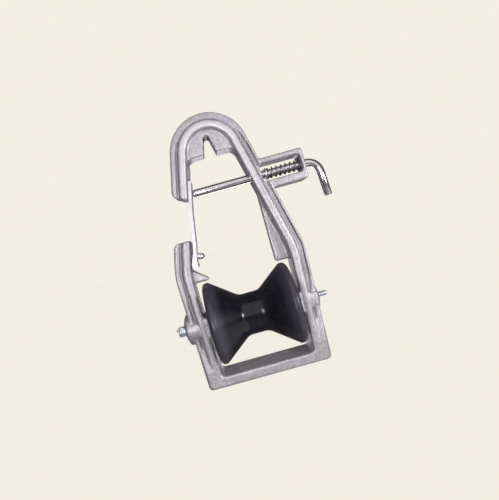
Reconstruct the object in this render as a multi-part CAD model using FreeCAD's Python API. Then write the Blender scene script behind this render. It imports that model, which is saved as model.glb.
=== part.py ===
import FreeCAD, Part
import math
import os

# Cable stringing block, in millimetres. X runs along the roller's axis, Y from the front face to
# the back, Z up. The origin is the middle of the flat foot, straight below the roller's middle.

Vec = FreeCAD.Vector
ORIGIN = Vec(0, 0, 0)
ALONG_X = Vec(1, 0, 0)
ALONG_Y = Vec(0, 1, 0)
ALONG_Z = Vec(0, 0, 1)
HALF_TURN = 180.0
FULL_TURN = 360.0
SAME_POINT = 0.000001

# Frame outline, measured on its inner edge, which is widest at the bend between leg and arm
frame_height = 321.5
frame_inner_width = 121.1
hook_radius = 28.2
arm_lean = 2.0
bend_z = 138.5
bend_radius = 90.0
floor_top_z = 13.8
inner_corner_radius = 5.0
outer_corner_radius = 5.0
hook_tip_drop = 48.6
arm_end_z = 178.0

# Frame section: a deep bead and a lower lip, with a shallow rounded valley between them
frame_depth = 38.1
lip_depth = 32.0
web_thickness = 26.0
valley_floor_thickness = 28.0
valley_blend = 1.7
bead_width = 9.6
valley_width = 3.6
lip_width = 6.0
floor_bead_height = 6.0
bead_round = 2.4
lip_round = 1.8
bead_end_round = 5.0
lip_tip_round = 9.5
lip_arm_round = 8.5
lip_tip_setback = 1.3
lip_arm_setback = 1.5
leg_valley_spread = 2.8
leg_valley_floor_thickness = 25.0
leg_valley_blend = 2.8
leg_valley_top_z = 272.0
leg_valley_end_z = 99.0
leg_valley_end_round = 4.0
foot_flush_z = 22.0
foot_fade_z = 50.0
foot_fade_sink = 0.5
foot_edge_round = 1.6
web_root = 3.0
web_sink = 6.0
crown_pad_half_angle = 58.0

# Hook web with the notch that sits on the strand
web_edge_drop = 1.8
web_blend = 3.6
web_corner_radius = 12.0
web_edge_round = 2.0
notch_half_angle = 12.5
notch_crown_radius = 3.4
notch_crown_rise = 20.4
strand_rib_height = 2.85
strand_rib_thickness = 16.0
strand_rib_end_drop = 24.7

# Guards in the middle plane, over the roller's rims
guard_bottom_z = 126.4
guard_thickness = 9.0
guard_round = 2.0
guard_blend = 4.0
fin_edge_x = 41.9
fin_corner_round = 2.8
spur_tip_x = 41.0
spur_tip_round = 2.2
spur_slope = 38.5
guard_root_radius = 3.0
guard_root_drop = 4.0

# Roller and its running gear
axle_z = 73.7
roller_length = 105.6
rim_radius = 49.5
waist_radius = 25.0
waist_flat = 24.6
waist_blend_radius = 15.0
rim_inner_x = 45.2
rim_inner_round = 3.5
rim_outer_round = 5.0
core_radius = 16.0
core_flange_radius = 26.0
core_flange_thickness = 3.0
core_flange_inset = 2.0
bush_radius = 9.5
bush_length = 22.0
sleeve_radius = 6.35
sleeve_bore_radius = 3.3
running_clearance = 0.08
core_relief = 0.6
washer_thickness = 1.5
washer_radius = 12.0
washer_clearance = 0.3
side_clearance = 0.3

# Bosses that hold the axle
boss_radius = 18.5
boss_rise_left = 8.5
boss_rise_right = 3.6
boss_dome_radius = 38.0
boss_face_radius = 8.0
boss_root_inset = 6.5
boss_draft = 0.4
pad_half_height = 12.3
pad_corner_round = 1.5
pad_edge_round = 1.6

# Axle stud, nut and cotter
stud_radius = 3.175
stud_bore_clearance = 0.15
stud_right_reach = 11.0
stud_chamfer = 1.0
stud_nut_recess = 0.7
nut_width = 11.1
nut_height = 7.1
nut_bore_clearance = 0.05
nut_slot_width = 2.0
nut_slot_depth = 2.4
nut_sides = 6
nut_chamfer_angle = 30.0
nut_washer_thickness = 1.4
nut_washer_radius = 6.4
cotter_radius = 0.8
cotter_hole_clearance = 0.12
cotter_bend_radius = 1.5
cotter_eye_radius = 1.7
cotter_leg_length = 1.4
cotter_turn = 60.0

# Plunger, its housing and spring
rod_drop = 41.3
rod_radius = 4.76
rod_clearance = 0.09
nose_round = 6.0
nose_chamfer = 1.6
nose_gap = 0.3
housing_depth = lip_depth
housing_above = 18.0
housing_below = 19.3
housing_reach = 47.8
housing_wall = 4.2
housing_round = 3.0
housing_edge_round = 1.8
housing_blend_below = 4.5
housing_blend_above = 2.0
housing_blend_reach = 9.0
window_length = 49.3
window_above = 11.5
window_below = 9.9
window_round = 4.0
washer_seat_gap = 6.4
spring_washer_thickness = 1.2
spring_washer_radius = 7.2
spring_wire_radius = 0.75
spring_mean_radius = 5.85
spring_pitch = 5.8
spring_end_gap = 0.3
cross_pin_radius = 1.2
cross_pin_reach = 6.4
handle_bend_radius = 15.4
handle_stub = 3.7
handle_drop = 45.1
handle_lean = 3.0
handle_chamfer = 0.8

# Gate strap
hinge_inset = 6.0
hinge_z = 146.9
gate_width = 25.4
gate_thickness = 3.8
gate_top_drop = 26.8
gate_top_inset = 4.4
gate_upper_turn = -0.5
gate_middle_turn = -4.0
gate_lower_turn = -1.7
gate_upper_bend_z = 211.7
gate_lower_bend_z = 174.0
gate_bend_radius = 60.0
gate_foot_z = 152.4
gate_edge_round = 0.6
gate_seat_gap = 0.3
ear_radius = 3.6
ear_flat = 0.4
ear_width = 4.0
ear_top_z = 164.0
lug_radius = 3.4
lug_side_gap = 0.7
hinge_pin_radius = 1.9
hinge_pin_clearance = 0.06
hinge_pin_head = 0.5
stop_stud_z = 158.0
stop_stud_length = 8.8
stop_stud_radius = 3.8
stop_stud_shank_radius = 2.0
stop_stud_dome = 2.4

# Values worked out from those above
section_width = bead_width + valley_width + lip_width
lip_inner = bead_width + valley_width
half_frame = frame_depth / 2
half_lip = lip_depth / 2
hook_centre_z = frame_height - hook_radius - section_width
hook_tip_z = hook_centre_z - hook_tip_drop
bend_drop = hook_centre_z - bend_z
bend_reach = math.hypot(frame_inner_width / 2, bend_drop)
lean = math.acos(hook_radius / bend_reach) - math.atan2(bend_drop, frame_inner_width / 2)
arm = math.radians(arm_lean)
web_edge_z = hook_centre_z - web_edge_drop
notch_crown_z = hook_centre_z + notch_crown_rise
strand_rib_end_z = hook_centre_z - strand_rib_end_drop
rod_z = hook_centre_z - rod_drop
housing_top_z = rod_z + housing_above
housing_bottom_z = rod_z - housing_below
gate_top_z = hook_centre_z - gate_top_drop
gate_upper_slope = lean + math.radians(gate_upper_turn)
gate_middle_slope = lean + math.radians(gate_middle_turn)
gate_lower_slope = lean + math.radians(gate_lower_turn)
gate_across = gate_thickness / math.cos(gate_upper_slope)
roller_end_x = roller_length / 2
pad_face_x = roller_end_x + washer_clearance + washer_thickness + side_clearance
lug_thickness = gate_width - 2 * ear_width - 2 * lug_side_gap


def leg_half_width(z, offset=0.0):
    """Half width between the leaning legs at height z, at an offset outwards from the inner edge."""
    return (hook_radius + offset) / math.cos(lean) + (hook_centre_z - z) * math.tan(lean)


def arm_half_width(z, offset=0.0):
    """Half width between the lower arms at height z, at an offset outwards from the inner edge."""
    return leg_half_width(bend_z) + offset / math.cos(arm) + (z - bend_z) * math.tan(arm)


# Places that follow the legs and the arms
boss_root_x = arm_half_width(axle_z) + boss_root_inset
boss_face_x_left = arm_half_width(axle_z, section_width) + boss_rise_left
boss_face_x_right = arm_half_width(axle_z, section_width) + boss_rise_right
housing_end_x = leg_half_width(rod_z, section_width) + housing_reach
window_right_x = housing_end_x - housing_wall
window_left_x = window_right_x - window_length
washer_seat_x = window_left_x + washer_seat_gap
hinge_x = hinge_inset - leg_half_width(hinge_z)


def leg_point(z, offset):
    """Point of the right leg, off its inner edge at height z by an offset square to the leg."""
    return (leg_half_width(z) + offset * math.cos(lean), z + offset * math.sin(lean))


def bend_point(offset):
    """Where the right leg's and the right arm's lines meet at an offset from the inner edge."""
    gap = leg_half_width(bend_z, offset) - arm_half_width(bend_z, offset)
    rise = gap / (math.tan(lean) + math.tan(arm))
    return (arm_half_width(bend_z + rise, offset), bend_z + rise)


def mirrored(point):
    return (-point[0], point[1])


def at_plane(point):
    return Vec(point[0], 0, point[1])


def rounded_wire(points, radii):
    """Closed wire in the XZ plane through the points, each corner rounded by its radius."""
    edges = []
    count = len(points)
    ends = []
    for i in range(count):
        corner = at_plane(points[i])
        before = (at_plane(points[i - 1]) - corner).normalize()
        after = (at_plane(points[(i + 1) % count]) - corner).normalize()
        if radii[i] <= 0:
            ends.append((corner, corner))
            continue
        half = before.getAngle(after) / 2
        reach = radii[i] / math.tan(half)
        start = corner + before * reach
        end = corner + after * reach
        to_centre = (before + after).normalize()
        middle = corner + to_centre * (radii[i] / math.sin(half) - radii[i])
        edges.append((i, Part.Arc(start, middle, end).toShape()))
        ends.append((start, end))
    arcs = dict(edges)
    chain = []
    for i in range(count):
        if i in arcs:
            chain.append(arcs[i])
        leave = ends[i][1]
        arrive = ends[(i + 1) % count][0]
        if leave.distanceToPoint(arrive) > SAME_POINT:
            chain.append(Part.LineSegment(leave, arrive).toShape())
    return Part.Wire(chain)


def plate(points, radii, thickness):
    """Flat plate of the rounded outline, centred on the middle plane."""
    face = Part.Face(rounded_wire(points, radii))
    solid = face.extrude(Vec(0, thickness, 0))
    solid.translate(Vec(0, -thickness / 2, 0))
    return solid


def rim_edges(solid, half_depth, keep=None):
    """Edges that lie in the front or the back face of a plate."""
    found = []
    for edge in solid.Edges:
        box = edge.BoundBox
        flat = box.YLength < SAME_POINT and abs(abs(box.YMin) - half_depth) < SAME_POINT
        if flat and (keep is None or keep(edge.CenterOfMass)):
            found.append(edge)
    return found


def rounded_plate(points, radii, thickness, edge_round, keep=None):
    """Flat plate whose front and back edges are rounded, all of them or those that keep picks."""
    solid = plate(points, radii, thickness)
    return solid.makeFillet(edge_round, rim_edges(solid, thickness / 2, keep))


def rod_along(start, direction, radius, length):
    return Part.makeCylinder(radius, length, start, direction)


def box_between(low, high):
    size = high.sub(low)
    return Part.makeBox(size.x, size.y, size.z, low)


def ring_along_x(outer, inner, x_from, x_to, z):
    """Flat ring or tube whose axis is X at height z."""
    start = Vec(x_from, 0, z)
    body = rod_along(start, ALONG_X, outer, x_to - x_from)
    return body.cut(rod_along(start, ALONG_X, inner, x_to - x_from))


def turned(profile, z):
    """Solid turned about the X axis at height z from points of (x, radius)."""
    corners = [Vec(x, 0, z + radius) for x, radius in profile]
    wire = Part.makePolygon(corners + [corners[0]])
    return Part.Face(wire).revolve(Vec(0, 0, z), ALONG_X, FULL_TURN)


def c_points(offset, floor_drop, tip_setback, arm_setback):
    """Corners of the C at an offset, from the hook's tip over the crown to the left arm's end."""
    floor_z = floor_top_z - floor_drop
    apex = (0.0, hook_centre_z + (hook_radius + offset) / math.sin(lean))
    bend = bend_point(offset)
    corner = (arm_half_width(floor_z, offset), floor_z)
    tip = leg_point(hook_tip_z + tip_setback, offset)
    arm_end = leg_point(arm_end_z - arm_setback, offset)
    return [mirrored(tip), apex, bend, corner, mirrored(corner), mirrored(bend), mirrored(arm_end)]


def c_strip(
    inner, outer, drop_inner, drop_outer, depth, tip_round, arm_round, tip_setback=0.0, arm_setback=0.0
):
    """Plate between two offsets of the C's inner edge."""
    inside = c_points(inner, drop_inner, tip_setback, arm_setback)
    outside = c_points(outer, drop_outer, tip_setback, arm_setback)
    bend = bend_radius
    corner = inner_corner_radius
    inside_radii = [0, hook_radius + inner, bend + inner, corner, corner, bend + inner, 0]
    corner = outer_corner_radius
    outside_radii = [tip_round, hook_radius + outer, bend + outer, corner, corner, bend + outer, arm_round]
    return plate(inside + outside[::-1], inside_radii + outside_radii[::-1], depth)


def bead_pocket(floor_y, blend):
    """Space inside the C in front of a floor, whose edge along the bead is rounded."""
    points = c_points(0.0, 0.0, 0.0, 0.0)[1:-1]
    corner = inner_corner_radius
    radii = [hook_radius, bend_radius, corner, corner, bend_radius]
    solid = plate(points, radii, frame_depth)
    floor_edges = [edge for edge in rim_edges(solid, half_frame) if edge.CenterOfMass.y > 0]
    solid = solid.makeFillet(blend, floor_edges)
    solid.translate(Vec(0, -half_frame - floor_y, 0))
    return solid


def hollow_blend(points, radii, thickness, blend):
    """Hollow curves along the bead on both faces of a plate of this outline inside the C."""
    block = plate(points, radii, thickness + 2 * blend)
    pocket = bead_pocket(thickness / 2, blend)
    return block.cut([pocket, mirror_in_y(pocket), plate(points, radii, thickness)])


def make_bead():
    solid = c_strip(0.0, bead_width, 0.0, floor_bead_height, frame_depth, bead_end_round, bead_end_round)
    return solid.makeFillet(bead_round, rim_edges(solid, half_frame))


def scoop(band, floor_thickness, blend):
    """Space in front of a floor over a band of the section, rounded along its floor."""
    floor_edges = [edge for edge in rim_edges(band, half_frame) if edge.CenterOfMass.y > 0]
    space = band.makeFillet(blend, floor_edges)
    space.translate(Vec(0, -half_frame - floor_thickness / 2, 0))
    return space


def leg_valley_band():
    """Band over which the valley is wider and deeper, from the crown past the bend to the boss."""
    inner = bead_width - web_root / 2
    outer = lip_inner + leg_valley_spread

    def side(offset):
        low = (arm_half_width(leg_valley_end_z, offset), leg_valley_end_z)
        return [leg_point(leg_valley_top_z, offset), bend_point(offset), low]

    radii = [0, bend_radius + inner, 0, leg_valley_end_round, bend_radius + outer, leg_valley_end_round]
    return plate(side(inner) + side(outer)[::-1], radii, frame_depth)


def make_lip():
    """Lower outer part of the section, with a valley along the bead that ends above the foot."""
    inner = bead_width - web_root
    drop = floor_bead_height - web_root
    solid = c_strip(
        inner, section_width, drop, floor_top_z, lip_depth,
        lip_tip_round, lip_arm_round, lip_tip_setback, lip_arm_setback,
    )
    solid = solid.makeFillet(lip_round, rim_edges(solid, half_lip))
    past_end = -section_width
    strip = c_strip(bead_width, lip_inner, 0.0, valley_width, frame_depth, 0, 0, past_end, past_end)
    valley = scoop(strip, valley_floor_thickness, valley_blend)
    leg_valley = scoop(leg_valley_band(), leg_valley_floor_thickness, leg_valley_blend)
    return solid.cut([valley, mirror_in_y(valley), leg_valley, mirror_in_y(leg_valley)])


def make_foot():
    """Thickening of the foot out to the bead's faces, which fades into the lip up both arms."""
    inner = bead_width - web_root
    outer = section_width - lip_round
    middle = (inner + outer) / 2
    inner_z = floor_top_z - floor_bead_height + web_root
    side = [
        (arm_half_width(foot_fade_z, inner), foot_fade_z),
        (arm_half_width(foot_fade_z, outer), foot_fade_z),
        (arm_half_width(lip_round, outer), lip_round),
    ]
    floor_corner = (arm_half_width(inner_z, inner), inner_z)
    points = [floor_corner] + side + [mirrored(point) for point in side[::-1]] + [mirrored(floor_corner)]
    radii = [inner_corner_radius, 0, 0, outer_corner_radius, outer_corner_radius, 0, 0, inner_corner_radius]

    def outer_side(point):
        return abs(point.x) > arm_half_width(point.z, middle) or point.z < inner_z / 2

    block = rounded_plate(points, radii, frame_depth, foot_edge_round, outer_side)
    fade_y = half_lip - foot_fade_sink
    slope = [
        Vec(0, -half_frame, 0), Vec(0, half_frame, 0), Vec(0, half_frame, foot_flush_z),
        Vec(0, fade_y, foot_fade_z), Vec(0, -fade_y, foot_fade_z), Vec(0, -half_frame, foot_flush_z),
    ]
    profile = Part.Face(Part.makePolygon(slope + [slope[0]]))
    profile.translate(Vec(-frame_inner_width, 0, 0))
    return block.common(profile.extrude(Vec(2 * frame_inner_width, 0, 0)))


def make_crown_pad():
    """Plain raised band between bead and lip, round the hook's crown."""
    half = math.radians(crown_pad_half_angle)
    inner = hook_radius + bead_width - web_root
    outer = hook_radius + section_width - lip_round

    def on_circle(radius, angle):
        return Vec(radius * math.sin(angle), 0, hook_centre_z + radius * math.cos(angle))

    outline = [
        Part.Arc(on_circle(outer, -half), on_circle(outer, 0), on_circle(outer, half)).toShape(),
        Part.LineSegment(on_circle(outer, half), on_circle(inner, half)).toShape(),
        Part.Arc(on_circle(inner, half), on_circle(inner, 0), on_circle(inner, -half)).toShape(),
        Part.LineSegment(on_circle(inner, -half), on_circle(outer, -half)).toShape(),
    ]
    solid = Part.Face(Part.Wire(outline)).extrude(Vec(0, lip_depth, 0))
    solid.translate(Vec(0, -half_lip, 0))
    return solid


def gate_face_x(z):
    """X of the gate strap's inner face at height z, along its three gently bent stretches."""
    top_x = gate_top_inset - leg_half_width(gate_top_z)
    upper_bend_x = top_x + (gate_upper_bend_z - gate_top_z) * math.tan(gate_upper_slope)
    if z >= gate_upper_bend_z:
        return top_x + (z - gate_top_z) * math.tan(gate_upper_slope)
    drop = gate_lower_bend_z - gate_upper_bend_z
    lower_bend_x = upper_bend_x + drop * math.tan(gate_middle_slope)
    if z >= gate_lower_bend_z:
        return upper_bend_x + (z - gate_upper_bend_z) * math.tan(gate_middle_slope)
    return lower_bend_x + (z - gate_lower_bend_z) * math.tan(gate_lower_slope)


def seat_x(z):
    """X of the ribs that the closed gate lies against."""
    return gate_face_x(z) - gate_across - gate_seat_gap / math.cos(gate_upper_slope)


def notch_points():
    """Corners of the strand notch, from its right foot over the crown to its left foot."""
    slope = math.radians(notch_half_angle)
    centre_z = notch_crown_z - notch_crown_radius
    apex = (0.0, centre_z + notch_crown_radius / math.sin(slope))
    foot_half = (apex[1] - web_edge_z) * math.tan(slope)
    return [(foot_half, web_edge_z), apex, (-foot_half, web_edge_z)]


def make_hook_web():
    """Web across the hook, with the strand notch in its lower edge."""
    apex = (0.0, hook_centre_z + (hook_radius + web_sink) / math.sin(lean))
    end_z = web_edge_z - web_corner_radius
    root = leg_point(end_z, web_sink)
    edge = leg_point(end_z, 0.0)
    corner = (leg_half_width(web_edge_z), web_edge_z)
    points = [apex, root, edge, corner] + notch_points() + [mirrored(p) for p in (corner, edge, root)]
    crown = hook_radius + web_sink
    radii = [crown, 0, 0, web_corner_radius, 0, notch_crown_radius, 0, web_corner_radius, 0, 0]

    def lower_edge(point):
        return abs(point.x) < leg_half_width(point.z) and end_z < point.z < notch_crown_z

    web = rounded_plate(points, radii, web_thickness, web_edge_round, lower_edge)
    return web.fuse(hollow_blend(points, radii, web_thickness, web_blend))


def make_strand_rib():
    """Rib down the left leg that shields the gate's top and then backs the closed gate."""
    top_z = web_edge_z - web_corner_radius / 2
    tip_z = hook_tip_z + bead_round
    rise = (strand_rib_height + web_root) * math.tan(lean)
    points = [
        (-leg_half_width(top_z) + strand_rib_height, top_z),
        (-leg_half_width(strand_rib_end_z) + strand_rib_height, strand_rib_end_z),
        (seat_x(strand_rib_end_z), strand_rib_end_z),
        (seat_x(tip_z), tip_z),
        (-leg_half_width(tip_z) - web_root, tip_z + rise),
        (-leg_half_width(top_z) - web_root, top_z),
    ]
    return plate(points, [0] * len(points), strand_rib_thickness)


def make_gate_rib():
    """Rib on the left arm that the gate's lower part lies against."""
    low_z = hinge_z
    points = [
        mirrored(leg_point(arm_end_z - bead_round, web_root)),
        (seat_x(arm_end_z - bead_round), arm_end_z - bead_round),
        (seat_x(low_z), low_z),
        (-arm_half_width(low_z, web_root), low_z),
    ]
    return plate(points, [0, 0, 0, 0], lug_thickness)


def make_hinge_lug():
    """Lug between the gate's ears, with its bore still to be cut."""
    start = Vec(hinge_x, -lug_thickness / 2, hinge_z)
    root = Vec(-arm_half_width(hinge_z, web_root), -lug_thickness / 2, hinge_z - lug_radius)
    arm_side = box_between(root, Vec(hinge_x, lug_thickness / 2, hinge_z + lug_radius))
    return rod_along(start, ALONG_Y, lug_radius, lug_thickness).fuse(arm_side)


def make_spur():
    """Three-cornered guard over the left rim."""
    slope = math.radians(spur_slope)
    low = -arm_half_width(guard_bottom_z)
    corner_x = spur_tip_round / math.tan(slope / 2) - spur_tip_round - spur_tip_x
    root_x = low - web_root
    root_z = guard_bottom_z - guard_root_drop
    points = [
        (root_x, guard_bottom_z + (corner_x - root_x) * math.tan(slope)),
        (corner_x, guard_bottom_z),
        (low, guard_bottom_z),
        (low, root_z),
        (root_x, root_z),
    ]
    radii = [0, spur_tip_round, guard_root_radius, 0, 0]

    def outside_arm(point):
        return point.x > -arm_half_width(point.z) + web_root / 2

    spur = rounded_plate(points, radii, guard_thickness, guard_round, outside_arm)
    return spur.fuse(hollow_blend(points, radii, guard_thickness, guard_blend))


def make_fin():
    """Long tapering guard on the right arm, with an upright edge."""
    top_z = hook_centre_z - (fin_edge_x - hook_radius / math.cos(lean)) / math.tan(lean)
    bend = bend_point(0.0)
    low = arm_half_width(guard_bottom_z)
    root_z = guard_bottom_z - guard_root_drop
    points = [
        (fin_edge_x, guard_bottom_z),
        (fin_edge_x, top_z - web_root),
        (fin_edge_x + web_root, top_z - web_root),
        (bend[0] + web_root, bend[1]),
        (low + web_root, root_z),
        (low, root_z),
        (low, guard_bottom_z),
    ]
    radii = [fin_corner_round, 0, 0, 0, 0, 0, guard_root_radius]

    def clear_of_arm(point):
        return point.x < leg_half_width(point.z) - web_root / 2 and point.x < low - web_root / 2

    fin = rounded_plate(points, radii, guard_thickness, guard_round, clear_of_arm)
    return fin.fuse(hollow_blend(points, radii, guard_thickness, guard_blend))


def make_housing():
    """Block beside the right arm that carries the plunger, before its window is cut."""
    below_z = housing_bottom_z - housing_blend_reach
    above_z = housing_top_z + housing_blend_reach
    points = [
        (leg_half_width(below_z, web_root), below_z),
        (leg_half_width(below_z, section_width - lip_round), below_z),
        (leg_half_width(housing_bottom_z, section_width - lip_round), housing_bottom_z),
        (housing_end_x, housing_bottom_z),
        (housing_end_x, housing_top_z),
        (leg_half_width(housing_top_z, section_width - lip_round), housing_top_z),
        (leg_half_width(above_z, section_width - lip_round), above_z),
        (leg_half_width(above_z, bead_width - web_root), above_z),
    ]
    radii = [0, 0, housing_blend_below, housing_round, housing_round, housing_blend_above, 0, 0]
    return rounded_plate(points, radii, housing_depth, housing_edge_round)


def make_window():
    """Opening in the housing, round the spring."""
    points = [
        (window_left_x, rod_z - window_below),
        (window_right_x, rod_z - window_below),
        (window_right_x, rod_z + window_above),
        (window_left_x, rod_z + window_above),
    ]
    return plate(points, [window_round] * len(points), frame_depth)


def make_boss(face_x):
    """Domed outer boss of the axle on the +X side, with a flat spot face for a nut."""
    sag = boss_dome_radius - math.sqrt(boss_dome_radius ** 2 - boss_radius ** 2)
    face_sag = boss_dome_radius - math.sqrt(boss_dome_radius ** 2 - boss_face_radius ** 2)
    centre_x = face_x + face_sag - boss_dome_radius
    shoulder_x = centre_x + boss_dome_radius - sag
    rim_angle = math.asin(boss_radius / boss_dome_radius)
    face_angle = math.asin(boss_face_radius / boss_dome_radius)
    half_angle = (rim_angle + face_angle) / 2
    middle_x = centre_x + boss_dome_radius * math.cos(half_angle)
    middle = Vec(middle_x, 0, boss_dome_radius * math.sin(half_angle))
    root = Vec(boss_root_x, 0, boss_radius + boss_draft)
    shoulder = Vec(shoulder_x, 0, boss_radius)
    face_edge = Vec(face_x, 0, boss_face_radius)
    outline = [
        Part.LineSegment(Vec(boss_root_x, 0, 0), root).toShape(),
        Part.LineSegment(root, shoulder).toShape(),
        Part.Arc(shoulder, middle, face_edge).toShape(),
        Part.LineSegment(face_edge, Vec(face_x, 0, 0)).toShape(),
        Part.LineSegment(Vec(face_x, 0, 0), Vec(boss_root_x, 0, 0)).toShape(),
    ]
    solid = Part.Face(Part.Wire(outline)).revolve(ORIGIN, ALONG_X, FULL_TURN)
    solid.translate(Vec(0, 0, axle_z))
    return solid


def make_pad():
    """Inner boss on the +X side, as deep as the bead that it grows from, up to the thrust washer."""
    root_x = arm_half_width(axle_z) + bead_width / 2
    low_z = axle_z - pad_half_height
    high_z = axle_z + pad_half_height
    points = [(root_x, low_z), (pad_face_x, low_z), (pad_face_x, high_z), (root_x, high_z)]
    radii = [0, pad_corner_round, pad_corner_round, 0]

    def off_the_bead(point):
        return point.x < root_x - SAME_POINT

    return rounded_plate(points, radii, frame_depth, pad_edge_round, off_the_bead)


def mirrored_in_x(solid):
    return solid.mirror(ORIGIN, ALONG_X)


def make_frame_casting():
    body = make_bead()
    pieces = [
        make_lip(), make_foot(), make_crown_pad(), make_hook_web(), make_strand_rib(),
        make_gate_rib(), make_hinge_lug(), make_spur(), make_fin(), make_housing(),
        make_boss(boss_face_x_right), mirrored_in_x(make_boss(boss_face_x_left)),
        make_pad(), mirrored_in_x(make_pad()),
    ]
    body = body.fuse(pieces)
    axle_bore = rod_along(
        Vec(-boss_face_x_left, 0, axle_z), ALONG_X, stud_radius + stud_bore_clearance,
        boss_face_x_left + boss_face_x_right,
    )
    rod_bore = rod_along(Vec(0, 0, rod_z), ALONG_X, rod_radius + rod_clearance, housing_end_x)
    hinge_bore = rod_along(
        Vec(hinge_x, -half_frame, hinge_z), ALONG_Y, hinge_pin_radius + hinge_pin_clearance, frame_depth
    )
    body = body.cut([make_window(), axle_bore, rod_bore, hinge_bore])
    return body.removeSplitter()


def make_roller_tyre():
    """Hourglass roller body of rubber, bonded to its core."""
    flat = waist_flat / 2
    bore = core_radius
    groove_x = roller_end_x - core_flange_inset
    points = [
        (-roller_end_x, core_flange_radius),
        (-roller_end_x, rim_radius),
        (-rim_inner_x, rim_radius),
        (-flat, waist_radius),
        (flat, waist_radius),
        (rim_inner_x, rim_radius),
        (roller_end_x, rim_radius),
        (roller_end_x, core_flange_radius),
        (groove_x - core_flange_thickness, core_flange_radius),
        (groove_x - core_flange_thickness, bore),
        (-groove_x + core_flange_thickness, bore),
        (-groove_x + core_flange_thickness, core_flange_radius),
    ]
    radii = [0, rim_outer_round, rim_inner_round, waist_blend_radius]
    radii += [waist_blend_radius, rim_inner_round, rim_outer_round, 0, 0, 0, 0, 0]
    solid = Part.Face(rounded_wire(points, radii)).revolve(ORIGIN, ALONG_X, FULL_TURN)
    solid.translate(Vec(0, 0, axle_z))
    return solid


def make_roller_core():
    """Hub of the roller: a tube with a flange near each end and a seat for each bush."""
    flange_out = roller_end_x - core_flange_inset
    flange_in = flange_out - core_flange_thickness
    seat_x_inner = roller_end_x - bush_length
    relief = sleeve_radius + core_relief
    return turned(
        [
            (-roller_end_x, bush_radius), (-roller_end_x, core_radius), (-flange_out, core_radius),
            (-flange_out, core_flange_radius), (-flange_in, core_flange_radius), (-flange_in, core_radius),
            (flange_in, core_radius), (flange_in, core_flange_radius), (flange_out, core_flange_radius),
            (flange_out, core_radius), (roller_end_x, core_radius), (roller_end_x, bush_radius),
            (seat_x_inner, bush_radius), (seat_x_inner, relief), (-seat_x_inner, relief),
            (-seat_x_inner, bush_radius),
        ],
        axle_z,
    )


def make_bush():
    """Bush in the roller core's right end."""
    bore = sleeve_radius + running_clearance
    return ring_along_x(bush_radius, bore, roller_end_x - bush_length, roller_end_x, axle_z)


def make_thrust_washer():
    """Washer between the roller's right end and the frame's inner boss."""
    start = roller_end_x + washer_clearance
    bore = sleeve_radius + running_clearance
    return ring_along_x(washer_radius, bore, start, start + washer_thickness, axle_z)


def make_axle_sleeve():
    return ring_along_x(sleeve_radius, sleeve_bore_radius, -pad_face_x, pad_face_x, axle_z)


def nut_faces():
    """X of the nut's seat, its slotted end and the stud's left end."""
    seat = -boss_face_x_left - nut_washer_thickness
    return seat, seat - nut_height, seat - nut_height + stud_nut_recess


def cotter_x():
    return nut_faces()[1] + nut_slot_depth / 2


def turned_with_cotter(solid):
    """The solid turned about the axle from upright to the slot that the cotter goes through."""
    solid.rotate(Vec(0, 0, axle_z), ALONG_X, cotter_turn)
    return solid


def make_axle_stud():
    left = nut_faces()[2]
    right = boss_face_x_right + stud_right_reach
    tip = stud_radius - stud_chamfer
    solid = turned(
        [
            (left, 0), (left, tip), (left + stud_chamfer, stud_radius),
            (right - stud_chamfer, stud_radius), (right, tip), (right, 0),
        ],
        axle_z,
    )
    hole_radius = cotter_radius + cotter_hole_clearance
    hole = rod_along(Vec(cotter_x(), 0, axle_z - nut_width), ALONG_Z, hole_radius, 2 * nut_width)
    return solid.cut(turned_with_cotter(hole))


def make_nut_washer():
    start = -boss_face_x_left - nut_washer_thickness
    bore = stud_radius + stud_bore_clearance
    return ring_along_x(nut_washer_radius, bore, start, -boss_face_x_left, axle_z)


def make_slotted_nut():
    """Hexagon nut with slots across its outer end for the cotter."""
    seat, end, _ = nut_faces()
    half_side_angle = math.pi / nut_sides
    corner_radius = nut_width / 2 / math.cos(half_side_angle)
    corners = []
    for i in range(nut_sides):
        angle = (2 * i + 1) * half_side_angle
        y = corner_radius * math.sin(angle)
        corners.append(Vec(end, y, axle_z + corner_radius * math.cos(angle)))
    hexagon = Part.Face(Part.makePolygon(corners + [corners[0]]))
    body = hexagon.extrude(Vec(nut_height, 0, 0))
    drop = (corner_radius - nut_width / 2) * math.tan(math.radians(nut_chamfer_angle))
    cone = turned(
        [
            (end, 0), (end, nut_width / 2), (end + drop, corner_radius),
            (seat - drop, corner_radius), (seat, nut_width / 2), (seat, 0),
        ],
        axle_z,
    )
    body = body.common(cone)
    body = body.cut(rod_along(Vec(end, 0, axle_z), ALONG_X, stud_radius + nut_bore_clearance, nut_height))
    low = Vec(end, -nut_slot_width / 2, axle_z - nut_width)
    high = Vec(end + nut_slot_depth, nut_slot_width / 2, axle_z + nut_width)
    slot = box_between(low, high)
    for i in range(nut_sides // 2):
        turn = slot.copy()
        turn.rotate(Vec(0, 0, axle_z), ALONG_X, i * FULL_TURN / nut_sides)
        body = body.cut(turn)
    return body


def swept(edges, radius):
    """Round bar of the given radius along a smooth chain of edges."""
    path = Part.Wire(edges)
    first = path.OrderedEdges[0]
    start = first.valueAt(first.FirstParameter)
    along = first.tangentAt(first.FirstParameter)
    section = Part.Wire(Part.makeCircle(radius, start, along))
    return path.makePipeShell([section], True, False)


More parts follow.
